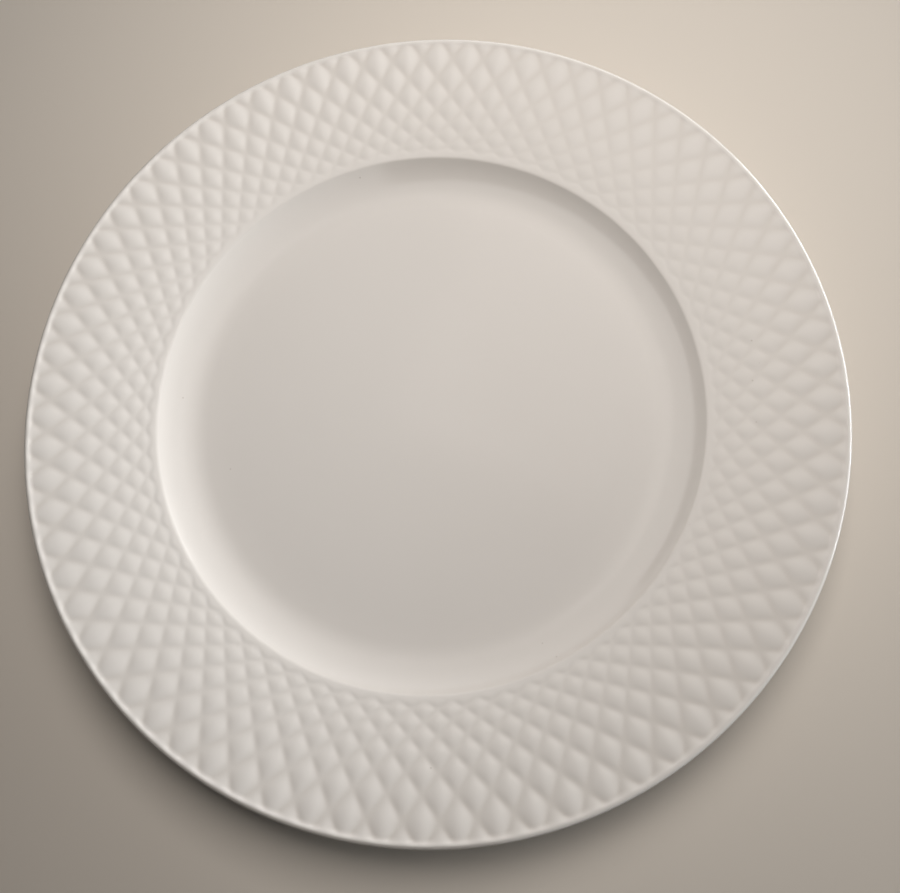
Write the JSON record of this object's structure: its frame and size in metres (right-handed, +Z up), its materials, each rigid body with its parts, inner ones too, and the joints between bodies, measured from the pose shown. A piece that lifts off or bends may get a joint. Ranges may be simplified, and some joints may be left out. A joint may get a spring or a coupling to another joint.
{
  "type": "dinner plate",
  "caption": "Round rigid dinner plate with a sunken well, a wide rim with a diamond lattice in relief, a rounded lip and a foot ring.",
  "frame": {"origin": "centre of the circle that the foot ring stands on", "axes": "+Z up along the plate's axis, out of the well"},
  "size_m": [0.27, 0.27, 0.025],
  "materials": {
    "glaze": "warm white clear glaze, glossy"
  },
  "bodies": {
    "root": {"plate": "glaze"}
  },
  "joints": []
}
